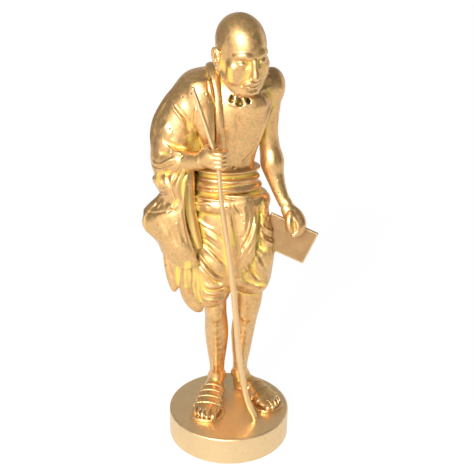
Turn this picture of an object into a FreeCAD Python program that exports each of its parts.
import FreeCAD, Part
import math
import os

from FreeCAD import Vector

# A cast brass figure of a stooped walking man with a staff, on a round hollow plinth.
# Millimetres, +Z up, origin at the centre of the plinth's underside. The figure faces -Y.
# Places on the figure are shares of figure_height: x to the viewer's right, y away from the
# viewer, z up from the plinth's top face.

# Driving dimensions
figure_height = 400.0
plinth_diameter = 124.0
plinth_height = 28.0
plinth_wall = 4.5
plinth_top_thickness = 5.0
plinth_edge_radius = 1.8

boss_diameter = 17.0
boss_drop = 3.0
stud_diameter = 6.0
stud_rise = 26.0
stud_tail = 2.0
washer_diameter = 13.0
washer_thickness = 1.2
nut_across_flats = 10.0
nut_height = 5.0

sole_thickness = 3.2
strap_thickness = 0.9
strap_width = 3.0
sandal_stud_width = 4.4
sandal_stud_height = 1.6
sandal_stud_recess = 2.4

cloth_thickness = 4.6
core_wall = 6.0

staff_tip_diameter = 3.8
staff_grip_diameter = 4.7
staff_waist_diameter = 4.2
staff_foot_diameter = 7.0
socket_diameter = 7.4
socket_depth = 11.0
socket_floor_gap = 0.2
grip_insert = 5.0

book_length = 50.0
book_height = 35.0
book_thickness = 3.4

dowel_diameter = 5.0
dowel_length = 22.0
pin_diameter = 3.0
pin_length = 12.0
fit_clearance = 0.1

# One overrun serves every cut that has to pass a face
overrun = 2.0
# Faces nearer than this count as touching where forms are joined
seam_tolerance = 0.01

# Points round one section of a form
ring_points = 12


# Places

def place(spot_share):
    """A point from its three shares of the figure's height."""
    x_share, y_share, z_share = spot_share
    return Vector(x_share * figure_height, y_share * figure_height, plinth_height + z_share * figure_height)


def heading(from_point, to_point):
    """Unit vector from one point to another."""
    step = to_point - from_point
    return step.multiply(1 / step.Length)


def square_axes(along, wide_hint):
    """Two unit vectors square to a direction, the first as near to the hint as can be."""
    wide = wide_hint - along * wide_hint.dot(along)
    wide.normalize()
    deep = along.cross(wide)
    deep.normalize()
    return wide, deep


# Forms

def closed_curve(points):
    """A smooth closed wire through points."""
    curve = Part.BSplineCurve()
    curve.interpolate(Points=points, PeriodicFlag=True)
    return Part.Wire([curve.toShape()])


def open_curve(points):
    """A smooth edge through points."""
    curve = Part.BSplineCurve()
    curve.interpolate(Points=points)
    return curve.toShape()


def loft(wires):
    """A closed solid through wires, with its faces outwards."""
    form = Part.makeLoft(wires, True, False, False, 3)
    if form.Volume < 0:
        form.reverse()
    return form


def ring(centre, wide, deep, half_width, half_depth):
    """A closed oval wire round a centre."""
    points = []
    for index in range(ring_points):
        angle = 2 * math.pi * index / ring_points
        reach = wide * (half_width * math.cos(angle)) + deep * (half_depth * math.sin(angle))
        points.append(centre + reach)
    return closed_curve(points)


def limb(station_shares, wide_hint=Vector(1, 0, 0), grow=0.0):
    """A form swept through ovals square to its path. A station is x, y, z, half width, half depth."""
    centres = [place(station[:3]) for station in station_shares]
    wires = []
    for index, station in enumerate(station_shares):
        before = centres[max(index - 1, 0)]
        after = centres[min(index + 1, len(centres) - 1)]
        wide, deep = square_axes(heading(before, after), wide_hint)
        half_width = station[3] * figure_height + grow
        half_depth = station[4] * figure_height + grow
        wires.append(ring(centres[index], wide, deep, half_width, half_depth))
    return loft(wires)


def stack(station_shares, grow=0.0):
    """A form through level ovals. A station is x, y, z, half width, half depth."""
    wires = []
    for station in station_shares:
        half_width = station[3] * figure_height + grow
        half_depth = station[4] * figure_height + grow
        wires.append(ring(place(station[:3]), Vector(1, 0, 0), Vector(0, 1, 0), half_width, half_depth))
    return loft(wires)


def sheet_ring(line_points, thickness):
    """A closed wire round a level line, half the thickness from it on each side."""
    outer = []
    inner = []
    last = len(line_points) - 1
    for index, point in enumerate(line_points):
        along = heading(line_points[max(index - 1, 0)], line_points[min(index + 1, last)])
        side = along.cross(Vector(0, 0, 1))
        outer.append(point + side * (thickness / 2))
        inner.append(point - side * (thickness / 2))
    back_end = Part.LineSegment(outer[last], inner[last]).toShape()
    front_end = Part.LineSegment(inner[0], outer[0]).toShape()
    return Part.Wire([open_curve(outer), back_end, open_curve(inner[::-1]), front_end])


def hung_cloth(row_shares, thickness):
    """Cloth that hangs through level rows. A row is its height and the line of points that it follows."""
    wires = []
    for z_share, line_shares in row_shares:
        line = [place((x_share, y_share, z_share)) for x_share, y_share in line_shares]
        wires.append(sheet_ring(line, thickness))
    return loft(wires)


def front_cutter(outline_shares):
    """A prism along Y whose front view is a smooth outline of x and z shares."""
    near = -plinth_diameter
    points = []
    for x_share, z_share in outline_shares:
        spot = place((x_share, 0, z_share))
        points.append(Vector(spot.x, near, spot.z))
    face = Part.Face(closed_curve(points))
    return face.extrude(Vector(0, 2 * plinth_diameter, 0))


def rod(start, end, start_diameter, end_diameter):
    """A round rod, straight or tapered, between two points."""
    length = (end - start).Length
    along = heading(start, end)
    if abs(start_diameter - end_diameter) < fit_clearance:
        return Part.makeCylinder(start_diameter / 2, length, start, along)
    return Part.makeCone(start_diameter / 2, end_diameter / 2, length, start, along)


def biggest(shape):
    """The largest solid of a shape, without the slivers that a cut leaves."""
    return max(shape.Solids, key=lambda solid: solid.Volume)


def cleared(shape, *others):
    """A shape cut back from all its neighbours at once."""
    return biggest(shape.cut(list(others)))


def joined(*shapes):
    """Several forms of one casting."""
    return biggest(shapes[0].fuse(list(shapes[1:]), seam_tolerance))


# Plinth and its fasteners

foot_heel_shares = {"right": (-0.034, 0.092), "left": (0.024, 0.104)}
foot_toe_shares = {"right": (-0.059, -0.076), "left": (0.117, -0.026)}
ankle_shares = {"right": (-0.034, 0.064), "left": (0.0295, 0.076)}


def foot_frame(side):
    """Heel point on the plinth's top, unit vectors along and across the foot, and its length."""
    heel = place(foot_heel_shares[side] + (0,))
    toe = place(foot_toe_shares[side] + (0,))
    along = heading(heel, toe)
    across = Vector(0, 0, 1).cross(along)
    return heel, along, across, (toe - heel).Length


# A stud stands under each ankle
stud_spots = [place(ankle_shares[side] + (0,)) for side in ("right", "left")]
staff_foot_share = (0.068, -0.066, 0.0)
staff_foot_spot = place(staff_foot_share)


def plinth_shell():
    """A turned cup, open underneath, with a rounded top edge, bosses at the studs and drilled holes."""
    body = Part.makeCylinder(plinth_diameter / 2, plinth_height)
    top_edges = []
    for edge in body.Edges:
        box = edge.BoundBox
        if box.ZMin > plinth_height / 2 and box.ZLength < plinth_edge_radius:
            top_edges.append(edge)
    body = body.makeFillet(plinth_edge_radius, top_edges)
    well_depth = plinth_height - plinth_top_thickness
    well = Part.makeCylinder(plinth_diameter / 2 - plinth_wall, well_depth + overrun, Vector(0, 0, -overrun))
    body = body.cut(well)
    for spot in stud_spots:
        boss_base = Vector(spot.x, spot.y, well_depth - boss_drop)
        boss = Part.makeCylinder(boss_diameter / 2, boss_drop + plinth_top_thickness / 2, boss_base)
        body = body.fuse(boss)
        hole_base = Vector(spot.x, spot.y, well_depth - boss_drop - overrun)
        hole_length = boss_drop + plinth_top_thickness + 2 * overrun
        hole = Part.makeCylinder(stud_diameter / 2 + fit_clearance, hole_length, hole_base)
        body = body.cut(hole)
    pin_hole_base = Vector(staff_foot_spot.x, staff_foot_spot.y, well_depth - overrun)
    pin_hole_length = plinth_top_thickness + 2 * overrun
    pin_hole = Part.makeCylinder(pin_diameter / 2 + fit_clearance, pin_hole_length, pin_hole_base)
    return biggest(body.cut(pin_hole).removeSplitter())


def foot_stud(spot, grow=0.0):
    """A plain stud from under the nut up into the leg."""
    base_height = plinth_height - plinth_top_thickness - boss_drop - washer_thickness - nut_height - stud_tail
    length = plinth_height + stud_rise - base_height
    return Part.makeCylinder(stud_diameter / 2 + grow, length, Vector(spot.x, spot.y, base_height))


def stud_washer(spot):
    """A flat washer under a boss."""
    base_height = plinth_height - plinth_top_thickness - boss_drop - washer_thickness
    base = Vector(spot.x, spot.y, base_height)
    disc = Part.makeCylinder(washer_diameter / 2, washer_thickness, base)
    hole = Part.makeCylinder(stud_diameter / 2 + fit_clearance, washer_thickness, base)
    return disc.cut(hole)


def stud_nut(spot):
    """A hexagon nut under a washer."""
    base_height = plinth_height - plinth_top_thickness - boss_drop - washer_thickness - nut_height
    base = Vector(spot.x, spot.y, base_height)
    corner_radius = nut_across_flats / 2 / math.cos(math.pi / 6)
    corners = []
    for index in range(7):
        angle = index * math.pi / 3
        corners.append(base + Vector(corner_radius * math.cos(angle), corner_radius * math.sin(angle), 0))
    prism = Part.Face(Part.makePolygon(corners)).extrude(Vector(0, 0, nut_height))
    hole = Part.makeCylinder(stud_diameter / 2 + fit_clearance / 2, nut_height, base)
    return prism.cut(hole)


# Sandals and feet. Along and across are shares of the foot's own length.

sole_outline_shares = [
    (-0.03, 0.00), (0.02, 0.115), (0.22, 0.150), (0.48, 0.165), (0.72, 0.235), (0.90, 0.240),
    (1.03, 0.120), (1.05, -0.03), (1.00, -0.185), (0.86, -0.255), (0.70, -0.235), (0.46, -0.150),
    (0.22, -0.140), (0.02, -0.115),
]
foot_section_shares = [
    (0.02, 0.060, 0.070, 0.050), (0.08, 0.100, 0.115, 0.090), (0.22, 0.105, 0.145, 0.115),
    (0.38, 0.115, 0.165, 0.120), (0.55, 0.105, 0.185, 0.105), (0.72, 0.085, 0.200, 0.085),
    (0.88, 0.065, 0.205, 0.062), (0.98, 0.050, 0.165, 0.042), (1.01, 0.045, 0.110, 0.030),
]
right_strap_along_shares = [0.40, 0.52, 0.64, 0.77]
left_strap_along_shares = [0.46, 0.62, 0.78]
sandal_stud_share = (0.0605, -0.010)


def sandal_sole(side):
    """A flat sole under one foot."""
    heel, along, across, length = foot_frame(side)
    mirror = 1 if side == "right" else -1
    points = []
    for along_share, across_share in sole_outline_shares:
        points.append(heel + along * (along_share * length) + across * (mirror * across_share * length))
    return Part.Face(closed_curve(points)).extrude(Vector(0, 0, sole_thickness))


def foot(side, grow=0.0):
    """The foot's rounded form from heel to toes, standing on its sole."""
    heel, along, across, length = foot_frame(side)
    up = Vector(0, 0, 1)
    wires = []
    for along_share, height_share, half_width_share, half_height_share in foot_section_shares:
        centre = heel + along * (along_share * length) + up * (height_share * length + sole_thickness)
        half_width = half_width_share * length + grow
        half_height = half_height_share * length + grow
        wires.append(ring(centre, across, up, half_width, half_height))
    form = loft(wires)
    below = Part.makeBox(2 * plinth_diameter, 2 * plinth_diameter, plinth_diameter)
    below_base = plinth_height + sole_thickness - plinth_diameter
    below.translate(Vector(-plinth_diameter, -plinth_diameter, below_base))
    return biggest(form.cut(below))


def sandal_straps(side, along_shares, foot_form, shin_form):
    """Bands over the foot, each as thick as the strap."""
    heel, along, across, length = foot_frame(side)
    sleeve = foot(side, strap_thickness)
    straps = []
    for along_share in along_shares:
        slab = Part.makeBox(strap_width, length, length, Vector(0, -length / 2, 0))
        turn = math.degrees(math.atan2(along.y, along.x))
        slab.rotate(Vector(0, 0, 0), Vector(0, 0, 1), turn)
        slab.translate(heel + along * (along_share * length) + Vector(0, 0, sole_thickness))
        straps.append(cleared(slab.common(sleeve), foot_form, shin_form))
    return Part.makeCompound(straps)


# Legs

leg_shares = {
    "right": [
        (-0.046, 0.040, 0.440, 0.042, 0.045), (-0.043, 0.033, 0.370, 0.037, 0.040),
        (-0.040, 0.027, 0.310, 0.031, 0.034), (-0.0375, 0.028, 0.272, 0.0285, 0.033),
        (-0.0360, 0.043, 0.235, 0.0285, 0.032), (-0.0350, 0.054, 0.199, 0.0305, 0.034),
        (-0.0340, 0.060, 0.160, 0.0290, 0.032), (-0.0338, 0.062, 0.1247, 0.0250, 0.028),
        (-0.0333, 0.063, 0.0900, 0.0205, 0.024), (-0.0333, 0.064, 0.0600, 0.0200, 0.026),
        (-0.0340, 0.063, 0.0300, 0.0180, 0.026),
    ],
    "left": [
        (0.048, 0.048, 0.440, 0.043, 0.046), (0.048, 0.043, 0.370, 0.039, 0.042),
        (0.048, 0.038, 0.320, 0.034, 0.036), (0.0470, 0.040, 0.285, 0.032, 0.034),
        (0.0410, 0.054, 0.240, 0.030, 0.032), (0.0345, 0.066, 0.197, 0.0305, 0.034),
        (0.0315, 0.073, 0.155, 0.0280, 0.031), (0.0300, 0.076, 0.119, 0.0240, 0.027),
        (0.0285, 0.078, 0.0850, 0.0200, 0.024), (0.0280, 0.078, 0.0580, 0.0200, 0.026),
        (0.0300, 0.075, 0.0300, 0.0180, 0.026),
    ],
}


def shin(side):
    """Thigh end, knee, calf and ankle."""
    return limb(leg_shares[side])


# Torso, neck and head

torso_shares = [
    (-0.010, 0.032, 0.560, 0.060, 0.046), (-0.012, 0.030, 0.590, 0.068, 0.052),
    (-0.015, 0.025, 0.635, 0.0680, 0.0520), (-0.0145, 0.022, 0.660, 0.0675, 0.0515),
    (-0.013, 0.019, 0.683, 0.0700, 0.0530), (-0.011, 0.014, 0.719, 0.0795, 0.0570),
    (-0.009, 0.009, 0.754, 0.0895, 0.0610), (-0.005, 0.007, 0.795, 0.0940, 0.0620),
    (-0.002, 0.009, 0.828, 0.0900, 0.0570), (-0.001, 0.013, 0.850, 0.0760, 0.0480),
    (-0.001, 0.015, 0.866, 0.0560, 0.0380), (-0.001, 0.014, 0.876, 0.0360, 0.0290),
]
core_lowest_share = 0.60
core_highest_share = 0.83
torso_core_shares = [
    station for station in torso_shares if core_lowest_share < station[2] < core_highest_share
]
neck_shares = [
    (-0.001, 0.016, 0.835, 0.0390, 0.0380), (0.001, 0.004, 0.862, 0.0320, 0.0330),
    (0.006, -0.016, 0.886, 0.0285, 0.0300), (0.012, -0.036, 0.905, 0.0290, 0.0310),
]

head_centre_share = (0.0175, -0.068, 0.9185)
head_turn = 28.0
head_tilt = 20.0
head_lean = 6.0
# Textbook proportions: height up from the centre, forward shift, half width and half depth
head_section_shares = [
    (-0.0730, 0.0400, 0.0120, 0.0110), (-0.0680, 0.0340, 0.0230, 0.0230), (-0.0560, 0.0230, 0.0330, 0.0390),
    (-0.0400, 0.0100, 0.0410, 0.0520), (-0.0200, 0.0010, 0.0470, 0.0610), (0.0040, -0.0040, 0.0508, 0.0665),
    (0.0280, -0.0060, 0.0505, 0.0660), (0.0500, -0.0060, 0.0440, 0.0570), (0.0680, -0.0050, 0.0305, 0.0390),
    (0.0790, -0.0040, 0.0125, 0.0160),
]
nose_shares = [
    (0.0060, 0.0600, 0.0050, 0.0060), (-0.0080, 0.0655, 0.0065, 0.0090),
    (-0.0190, 0.0690, 0.0095, 0.0110), (-0.0250, 0.0640, 0.0080, 0.0080),
]
ear_shares = [
    (-0.0280, -0.0010, 0.0050, 0.0050), (-0.0180, -0.0040, 0.0090, 0.0075),
    (-0.0030, -0.0080, 0.0125, 0.0095), (0.0070, -0.0080, 0.0080, 0.0070),
]
ear_side_share = 0.0510


def head_axes():
    """Unit vectors of the head: forward, to the viewer's right and up."""
    turn = math.radians(head_turn)
    tilt = math.radians(head_tilt)
    forward = Vector(math.sin(turn) * math.cos(tilt), -math.cos(turn) * math.cos(tilt), -math.sin(tilt))
    up = Vector(math.sin(turn) * math.sin(tilt), -math.cos(turn) * math.sin(tilt), math.cos(tilt))
    right = up.cross(forward)
    lean = math.radians(head_lean)
    leaned_up = up * math.cos(lean) - right * math.sin(lean)
    leaned_right = right * math.cos(lean) + up * math.sin(lean)
    return forward, leaned_right, leaned_up


def head_part(section_shares, side_share=0.0):
    """A form through ovals square to the head's own height."""
    forward, right, up = head_axes()
    centre = place(head_centre_share) + right * (side_share * figure_height)
    wires = []
    for up_share, forward_share, half_width_share, half_depth_share in section_shares:
        spot = centre + up * (up_share * figure_height) + forward * (forward_share * figure_height)
        half_width = half_width_share * figure_height
        half_depth = half_depth_share * figure_height
        wires.append(ring(spot, right, forward, half_width, half_depth))
    return loft(wires)


def ear(side):
    """One ear, a thin rounded leaf against the side of the head."""
    swapped = [(up, forward, deep, wide) for up, forward, wide, deep in ear_shares]
    return head_part(swapped, side * ear_side_share)


# Arms and hands

left_arm_shares = [
    (0.0700, 0.022, 0.862, 0.0160, 0.0180), (0.0800, 0.024, 0.850, 0.0290, 0.0290),
    (0.0850, 0.027, 0.820, 0.0290, 0.0300), (0.0835, 0.033, 0.778, 0.0250, 0.0275),
    (0.0825, 0.039, 0.743, 0.0240, 0.0265), (0.0845, 0.044, 0.710, 0.0235, 0.0255),
    (0.0890, 0.046, 0.679, 0.0250, 0.0260), (0.0940, 0.042, 0.648, 0.0258, 0.0260),
    (0.1020, 0.035, 0.618, 0.0225, 0.0225), (0.1110, 0.028, 0.592, 0.0185, 0.0180),
    (0.1240, 0.018, 0.562, 0.0160, 0.0140), (0.1300, 0.014, 0.550, 0.0165, 0.0130),
]
left_hand_shares = [
    (0.1300, 0.014, 0.550, 0.0160, 0.0125), (0.1400, 0.008, 0.536, 0.0200, 0.0145),
    (0.1510, 0.002, 0.523, 0.0225, 0.0165), (0.1580, -0.002, 0.508, 0.0210, 0.0175),
    (0.1560, -0.004, 0.494, 0.0180, 0.0140), (0.1500, -0.004, 0.484, 0.0120, 0.0090),
]
left_thumb_shares = [
    (0.1400, 0.000, 0.535, 0.0090, 0.0090), (0.1370, -0.008, 0.518, 0.0085, 0.0085),
    (0.1360, -0.011, 0.502, 0.0075, 0.0075), (0.1360, -0.011, 0.492, 0.0045, 0.0045),
]
book_corner_share = (0.2120, 0.020, 0.4790)
book_along_share = (-0.1240, 0.010, 0.0530)
book_down_share = (-0.0370, 0.004, -0.0840)

right_forearm_shares = [
    (-0.150, -0.010, 0.672, 0.0300, 0.0290), (-0.125, -0.036, 0.674, 0.0290, 0.0280),
    (-0.100, -0.060, 0.678, 0.0260, 0.0240), (-0.078, -0.080, 0.683, 0.0205, 0.0190),
    (-0.062, -0.092, 0.688, 0.0190, 0.0180),
]
fist_shares = [
    (-0.066, -0.088, 0.689, 0.0170, 0.0160), (-0.056, -0.094, 0.694, 0.0225, 0.0190),
    (-0.042, -0.101, 0.697, 0.0250, 0.0205), (-0.029, -0.105, 0.698, 0.0240, 0.0195),
    (-0.019, -0.107, 0.698, 0.0170, 0.0140), (-0.015, -0.107, 0.698, 0.0090, 0.0070),
]

# Staff

staff_tip_share = (-0.0820, -0.107, 0.8460)
socket_mouth_share = (-0.0390, -0.1035, 0.7170)
staff_grip_share = (-0.0300, -0.1035, 0.6780)
staff_knee_shares = [
    (-0.0265, -0.1030, 0.6600), (-0.0170, -0.098, 0.5600), (-0.0007, -0.0875, 0.4450),
    (0.0170, -0.077, 0.2700), (0.0352, -0.068, 0.1080), (0.0480, -0.066, 0.0520), (0.0620, -0.066, 0.0180),
]

# Dhoti: wrapped cloth from the waist to the knees

skirt_shares = [
    (-0.009, 0.032, 0.602, 0.0720, 0.0530), (-0.008, 0.033, 0.575, 0.0825, 0.0600),
    (-0.008, 0.034, 0.540, 0.0945, 0.0680), (-0.007, 0.035, 0.497, 0.0975, 0.0700),
    (-0.005, 0.034, 0.450, 0.0975, 0.0660), (-0.003, 0.033, 0.410, 0.0950, 0.0610),
    (-0.001, 0.033, 0.375, 0.0880, 0.0560), (0.000, 0.033, 0.352, 0.0760, 0.0480),
]
skirt_leg_shares = {
    "right": [
        (-0.050, 0.036, 0.440, 0.0440, 0.0480), (-0.049, 0.032, 0.390, 0.0440, 0.0490),
        (-0.0480, 0.025, 0.345, 0.0470, 0.0500), (-0.0470, 0.022, 0.312, 0.0450, 0.0460),
        (-0.0440, 0.024, 0.292, 0.0380, 0.0400),
    ],
    "left": [
        (0.050, 0.042, 0.440, 0.0440, 0.0500), (0.050, 0.040, 0.395, 0.0430, 0.0500),
        (0.0490, 0.038, 0.355, 0.0410, 0.0470), (0.0480, 0.038, 0.328, 0.0380, 0.0420),
    ],
}
panel_shares = [
    (0.012, -0.030, 0.590, 0.0330, 0.0100), (0.018, -0.032, 0.545, 0.0380, 0.0120),
    (0.022, -0.034, 0.490, 0.0390, 0.0130), (0.023, -0.032, 0.440, 0.0330, 0.0130),
    (0.020, -0.028, 0.400, 0.0210, 0.0110), (0.018, -0.024, 0.378, 0.0100, 0.0070),
]
tail_shares = [
    (0.0720, 0.014, 0.572, 0.0120, 0.0180), (0.0740, 0.008, 0.520, 0.0180, 0.0220),
    (0.0740, 0.004, 0.460, 0.0220, 0.0220), (0.0720, 0.000, 0.405, 0.0200, 0.0190),
    (0.0740, -0.002, 0.372, 0.0140, 0.0150), (0.0790, -0.003, 0.355, 0.0125, 0.0130),
    (0.0800, -0.003, 0.346, 0.0060, 0.0070),
]

# Sash: rolls round the waist, wider towards the hips
sash_top_share = (-0.015, 0.026, 0.646, 0.0685, 0.0555)
sash_bottom_share = (-0.010, 0.032, 0.572, 0.0870, 0.0660)
sash_rolls = 4
sash_roll_depth_share = 0.0040


def waist_sash():
    """Rolled cloth: the oval swells and draws in once for each roll."""
    stations = []
    steps = 2 * sash_rolls
    for index in range(steps + 1):
        along = index / steps
        swell = sash_roll_depth_share if index % 2 else -sash_roll_depth_share / 2
        middle = [top + (bottom - top) * along for top, bottom in zip(sash_top_share, sash_bottom_share)]
        stations.append((middle[0], middle[1], middle[2], middle[3] + swell, middle[4] + swell))
    return stack(stations)


# Shawl: over the right shoulder and arm, hanging in a flap and pointed ends

mantle_shares = [
    (-0.052, 0.014, 0.874, 0.0120, 0.0200), (-0.058, 0.013, 0.868, 0.0320, 0.0350),
    (-0.067, 0.012, 0.855, 0.0470, 0.0490), (-0.076, 0.011, 0.836, 0.0540, 0.0590),
    (-0.087, 0.010, 0.813, 0.0590, 0.0650), (-0.101, 0.008, 0.787, 0.0615, 0.0660),
    (-0.116, 0.006, 0.759, 0.0610, 0.0650), (-0.126, 0.004, 0.731, 0.0580, 0.0630),
    (-0.132, 0.000, 0.703, 0.0540, 0.0610), (-0.135, -0.002, 0.678, 0.0525, 0.0590),
    (-0.138, -0.002, 0.652, 0.0480, 0.0540), (-0.141, 0.000, 0.632, 0.0390, 0.0440),
    (-0.144, 0.002, 0.620, 0.0230, 0.0280),
]
cuff_shares = [
    (-0.150, -0.012, 0.672, 0.0430, 0.0420), (-0.126, -0.036, 0.675, 0.0390, 0.0370),
    (-0.106, -0.055, 0.678, 0.0330, 0.0300), (-0.094, -0.066, 0.680, 0.0280, 0.0250),
]
chest_fold_shares = [
    (-0.072, -0.030, 0.850, 0.0300, 0.0200), (-0.066, -0.045, 0.820, 0.0340, 0.0180),
    (-0.060, -0.052, 0.780, 0.0290, 0.0140), (-0.054, -0.050, 0.735, 0.0210, 0.0120),
    (-0.048, -0.044, 0.700, 0.0120, 0.0080),
]
band_shares = [
    (-0.054, 0.044, 0.862, 0.0120, 0.0075), (-0.050, 0.018, 0.876, 0.0120, 0.0075),
    (-0.046, -0.010, 0.876, 0.0120, 0.0075), (-0.040, -0.036, 0.858, 0.0120, 0.0070),
    (-0.036, -0.050, 0.828, 0.0120, 0.0060), (-0.032, -0.056, 0.790, 0.0120, 0.0060),
    (-0.028, -0.053, 0.746, 0.0120, 0.0060), (-0.025, -0.045, 0.705, 0.0120, 0.0060),
    (-0.024, -0.038, 0.672, 0.0110, 0.0060),
]
fall_row_shares = [
    (0.670, [(-0.106, -0.056), (-0.140, -0.052), (-0.170, -0.015), (-0.160, 0.030), (-0.115, 0.062)]),
    (0.635, [(-0.098, -0.064), (-0.138, -0.060), (-0.170, -0.018), (-0.160, 0.034), (-0.116, 0.068)]),
    (0.605, [(-0.104, -0.064), (-0.138, -0.058), (-0.170, -0.018), (-0.160, 0.036), (-0.116, 0.074)]),
    (0.575, [(-0.106, -0.062), (-0.132, -0.056), (-0.160, -0.016), (-0.154, 0.038), (-0.114, 0.080)]),
    (0.545, [(-0.105, -0.060), (-0.148, -0.058), (-0.190, -0.014), (-0.174, 0.046), (-0.116, 0.088)]),
    (0.515, [(-0.101, -0.056), (-0.156, -0.056), (-0.206, -0.010), (-0.186, 0.052), (-0.116, 0.092)]),
    (0.480, [(-0.092, -0.052), (-0.142, -0.056), (-0.186, -0.010), (-0.172, 0.052), (-0.112, 0.092)]),
    (0.445, [(-0.082, -0.048), (-0.126, -0.054), (-0.166, -0.010), (-0.156, 0.050), (-0.106, 0.088)]),
    (0.405, [(-0.070, -0.044), (-0.112, -0.050), (-0.150, -0.010), (-0.142, 0.046), (-0.100, 0.082)]),
]
fall_outline_shares = [
    (-0.100, 0.680), (-0.150, 0.690), (-0.185, 0.665), (-0.188, 0.625), (-0.182, 0.600), (-0.170, 0.578),
    (-0.186, 0.556), (-0.204, 0.540), (-0.2090, 0.5176), (-0.196, 0.497), (-0.183, 0.474), (-0.166, 0.444),
    (-0.140, 0.423), (-0.112, 0.413), (-0.086, 0.415), (-0.070, 0.430), (-0.080, 0.490), (-0.094, 0.560),
    (-0.094, 0.620),
]
lobe_station_shares = [
    [
        (-0.136, 0.012, 0.460, 0.0230, 0.0140), (-0.138, 0.010, 0.420, 0.0270, 0.0170),
        (-0.1380, 0.008, 0.385, 0.0240, 0.0160), (-0.1370, 0.006, 0.352, 0.0180, 0.0120),
        (-0.1380, 0.005, 0.334, 0.0110, 0.0080), (-0.1390, 0.004, 0.323, 0.0040, 0.0040),
    ],
    [
        (-0.100, 0.000, 0.450, 0.0280, 0.0160), (-0.0970, -0.002, 0.400, 0.0320, 0.0190),
        (-0.0960, -0.004, 0.355, 0.0310, 0.0190), (-0.0930, -0.005, 0.318, 0.0280, 0.0160),
        (-0.0850, -0.006, 0.290, 0.0210, 0.0120), (-0.0790, -0.006, 0.274, 0.0090, 0.0060),
    ],
]
back_row_shares = [
    (0.852, [(-0.092, 0.046), (-0.068, 0.060), (-0.040, 0.066), (-0.010, 0.062), (0.020, 0.050)]),
    (0.826, [(-0.118, 0.050), (-0.080, 0.075), (-0.038, 0.083), (0.005, 0.080), (0.042, 0.062)]),
    (0.780, [(-0.140, 0.052), (-0.092, 0.082), (-0.044, 0.090), (0.004, 0.086), (0.040, 0.072)]),
    (0.710, [(-0.152, 0.052), (-0.104, 0.080), (-0.058, 0.088), (-0.014, 0.086), (0.020, 0.078)]),
    (0.640, [(-0.150, 0.050), (-0.108, 0.082), (-0.068, 0.094), (-0.030, 0.096), (0.000, 0.094)]),
    (0.560, [(-0.146, 0.058), (-0.112, 0.090), (-0.080, 0.106), (-0.048, 0.112), (-0.020, 0.112)]),
    (0.480, [(-0.140, 0.060), (-0.112, 0.092), (-0.084, 0.108), (-0.056, 0.114), (-0.032, 0.114)]),
    (0.400, [(-0.128, 0.054), (-0.106, 0.084), (-0.082, 0.098), (-0.058, 0.104), (-0.038, 0.104)]),
]


# Dowels inside the joints: from, to, diameter and length

dowel_specs = {
    "neck_dowel": (neck_shares[0][:3], neck_shares[1][:3], dowel_diameter, dowel_length),
    "shoulder_dowel": ((0.060, 0.020, 0.820), (0.084, 0.026, 0.820), dowel_diameter, dowel_length),
    "wrist_dowel": (left_hand_shares[0][:3], left_hand_shares[1][:3], pin_diameter, pin_length),
}


# Build the castings, each cut back from what it is joined to

def dowel_between(from_share, to_share, diameter, length, grow=0.0):
    """A dowel centred between two places, along the line that joins them."""
    start = place(from_share)
    end = place(to_share)
    along = heading(start, end)
    middle = (start + end) * 0.5
    base = middle - along * (length / 2 + grow)
    return Part.makeCylinder(diameter / 2 + grow, length + 2 * grow, base, along)


def staff_lower():
    """The staff's lower length, widening towards its foot, which is cut flat on the plinth."""
    foot_end = staff_foot_spot
    knee_points = [place(share) for share in staff_knee_shares]
    grip_end = knee_points[0] + heading(knee_points[1], knee_points[0]) * grip_insert
    points = [grip_end] + knee_points + [foot_end]
    travelled = [0.0]
    for before, after in zip(points, points[1:]):
        travelled.append(travelled[-1] + (after - before).Length)
    wires = []
    for index, point in enumerate(points):
        share = travelled[index] / travelled[-1]
        diameter = staff_waist_diameter + (staff_foot_diameter - staff_waist_diameter) * share
        along = heading(points[max(index - 1, 0)], points[min(index + 1, len(points) - 1)])
        if point is foot_end:
            along = Vector(0, 0, -1)
        wide, deep = square_axes(along, Vector(1, 0, 0))
        wires.append(ring(point, wide, deep, diameter / 2, diameter / 2))
    return loft(wires)


def staff_upper():
    """The staff's loose upper length, with a rounded tip, standing in the fist's socket."""
    mouth = place(socket_mouth_share)
    tip = place(staff_tip_share)
    along = heading(mouth, tip)
    seat = mouth - along * (socket_depth - socket_floor_gap)
    shaft = rod(seat, tip, staff_grip_diameter, staff_tip_diameter)
    return biggest(shaft.fuse(Part.makeSphere(staff_tip_diameter / 2, tip)))


def fist_socket():
    """The oversize round socket in the top of the fist."""
    mouth = place(socket_mouth_share)
    along = heading(mouth, place(staff_tip_share))
    floor = mouth - along * socket_depth
    return Part.makeCylinder(socket_diameter / 2, socket_depth + 2 * socket_diameter, floor, along)


def book_block():
    """A thin closed book as a flat block."""
    corner = place(book_corner_share)
    along = Vector(*book_along_share)
    along.normalize()
    down = Vector(*book_down_share)
    down = down - along * down.dot(along)
    down.normalize()
    across = along.cross(down)
    corners = [
        corner, corner + along * book_length, corner + along * book_length + down * book_height,
        corner + down * book_height, corner,
    ]
    return Part.Face(Part.makePolygon(corners)).extrude(across * book_thickness)


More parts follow.
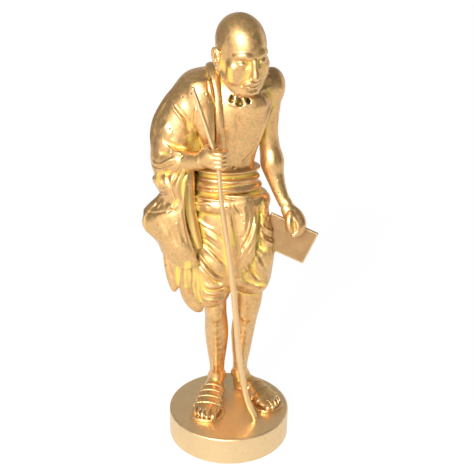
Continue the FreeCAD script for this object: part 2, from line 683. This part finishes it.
def sandal_stud(carrier):
    """A small square stud with a sunk middle, seated on the left foot."""
    heel, along, across, length = foot_frame("left")
    spot = place(sandal_stud_share + (0,))
    turn = math.degrees(math.atan2(along.y, along.x))
    half = sandal_stud_width / 2
    block = Part.makeBox(sandal_stud_width, sandal_stud_width, figure_height, Vector(-half, -half, 0))
    recess_corner = Vector(-sandal_stud_recess / 2, -sandal_stud_recess / 2, 0)
    recess = Part.makeBox(sandal_stud_recess, sandal_stud_recess, sandal_stud_height, recess_corner)
    for shape in (block, recess):
        shape.rotate(Vector(0, 0, 0), Vector(0, 0, 1), turn)
        shape.translate(Vector(spot.x, spot.y, 0))
    column = block.common(carrier)
    seat_height = column.BoundBox.ZMax
    cap = Part.makeBox(plinth_diameter, plinth_diameter, figure_height)
    cap_base = seat_height + sandal_stud_height
    cap.translate(Vector(spot.x - plinth_diameter / 2, spot.y - plinth_diameter / 2, cap_base))
    foot_cut = column.BoundBox.ZMax - sandal_stud_width
    floor = Part.makeBox(plinth_diameter, plinth_diameter, foot_cut)
    floor.translate(Vector(spot.x - plinth_diameter / 2, spot.y - plinth_diameter / 2, 0))
    recess.translate(Vector(0, 0, seat_height + sandal_stud_height / 2))
    return cleared(block, cap, floor, recess, carrier)


def build():
    """Every named piece of the figure."""
    pieces = {}
    pieces["plinth_shell"] = plinth_shell()
    pieces["foot_studs"] = Part.makeCompound([foot_stud(spot) for spot in stud_spots])
    pieces["stud_washers"] = Part.makeCompound([stud_washer(spot) for spot in stud_spots])
    pieces["stud_nuts"] = Part.makeCompound([stud_nut(spot) for spot in stud_spots])

    stud_holes = [foot_stud(spot, fit_clearance) for spot in stud_spots]
    strap_places = {"right": right_strap_along_shares, "left": left_strap_along_shares}
    legs = {}
    feet = {}
    for side in ("right", "left"):
        foot_form = foot(side)
        feet[side] = foot_form
        shin_form = shin(side)
        sole = sandal_sole(side)
        pieces[side + "_sandal_sole"] = cleared(sole, *stud_holes)
        legs[side] = cleared(joined(shin_form, foot_form), sole, *stud_holes)
        pieces[side + "_leg"] = legs[side]
        pieces[side + "_sandal_straps"] = sandal_straps(side, strap_places[side], foot_form, shin_form)
    pieces["sandal_stud"] = cleared(sandal_stud(feet["left"]), *pieces["left_sandal_straps"].Solids)

    dowel_holes = {}
    for node, (from_share, to_share, diameter, length) in dowel_specs.items():
        pieces[node] = dowel_between(from_share, to_share, diameter, length)
        dowel_holes[node] = dowel_between(from_share, to_share, diameter, length, fit_clearance)
    neck_hole = dowel_holes["neck_dowel"]
    shoulder_hole = dowel_holes["shoulder_dowel"]
    wrist_hole = dowel_holes["wrist_dowel"]

    torso_solid = limb(torso_shares)
    torso_core = limb(torso_core_shares, grow=-core_wall)
    torso = torso_solid.cut(torso_core)
    pieces["torso"] = cleared(torso, neck_hole, shoulder_hole)
    head = joined(limb(neck_shares), head_part(head_section_shares), head_part(nose_shares), ear(-1), ear(1))
    pieces["head"] = cleared(head, torso_solid, neck_hole)

    book = book_block()
    left_arm = cleared(limb(left_arm_shares), torso_solid)
    pieces["left_arm"] = cleared(left_arm, shoulder_hole, wrist_hole)
    left_hand = joined(limb(left_hand_shares), limb(left_thumb_shares))
    pieces["left_hand"] = cleared(left_hand, left_arm, book, wrist_hole)

    lower = staff_lower()
    pieces["staff_upper"] = staff_upper()
    staff_pin_hole = foot_pin(fit_clearance)
    pieces["staff_foot_pin"] = foot_pin()
    pieces["staff_lower"] = cleared(lower, staff_pin_hole)
    forearm = limb(right_forearm_shares, wide_hint=Vector(0, 0, 1))
    fist = cleared(limb(fist_shares, wide_hint=Vector(0, 0, 1)), forearm, fist_socket(), lower)
    pieces["right_forearm"] = forearm
    pieces["right_fist"] = fist

    skirt = joined(stack(skirt_shares), limb(skirt_leg_shares["right"]), limb(skirt_leg_shares["left"]))
    skirt_solid = cleared(skirt, torso_solid, legs["right"], legs["left"])
    pieces["dhoti_skirt"] = skirt_solid
    pieces["book"] = cleared(book, skirt_solid, legs["left"])
    sash = cleared(waist_sash(), torso_solid, skirt_solid)
    pieces["waist_sash"] = sash
    panel = cleared(stack(panel_shares), torso_solid, skirt_solid, sash, legs["right"], legs["left"])
    pieces["dhoti_panel"] = panel
    tail = cleared(stack(tail_shares), skirt_solid, sash, legs["left"], book)
    pieces["dhoti_tail"] = tail

    neighbours = [torso_solid, skirt_solid, sash, forearm, head]
    cuff = limb(cuff_shares, wide_hint=Vector(0, 0, 1))
    mantle_form = joined(stack(mantle_shares), limb(chest_fold_shares), cuff)
    mantle = cleared(mantle_form, *neighbours)
    pieces["shawl_mantle"] = mantle
    band = cleared(limb(band_shares), mantle, fist, *neighbours)
    pieces["shawl_band"] = band
    back = cleared(hung_cloth(back_row_shares, cloth_thickness), mantle, band, *neighbours)
    pieces["shawl_back"] = back
    fall = hung_cloth(fall_row_shares, cloth_thickness).common(front_cutter(fall_outline_shares))
    fall = cleared(fall, mantle, back, legs["right"], *neighbours)
    pieces["shawl_fall"] = fall
    lobes = []
    for station_shares in lobe_station_shares:
        lobes.append(cleared(stack(station_shares), skirt_solid, legs["right"], fall, back, *lobes))
    pieces["shawl_lobes"] = Part.makeCompound(lobes)
    return pieces


def foot_pin(grow=0.0):
    """The pin that holds the staff's foot on the plinth."""
    base = staff_foot_spot - Vector(0, 0, plinth_top_thickness + grow)
    length = plinth_top_thickness + staff_foot_diameter / 2 + 2 * grow
    return Part.makeCylinder(pin_diameter / 2 + grow, length, base)


os.makedirs("parts", exist_ok=True)
for node, shape in build().items():
    shape.exportStep("parts/" + node + ".step")
    verdict = "valid" if shape.isValid() else "NOT VALID"
    print(node, len(shape.Solids), "solid(s)", round(shape.Volume), "mm3", verdict)
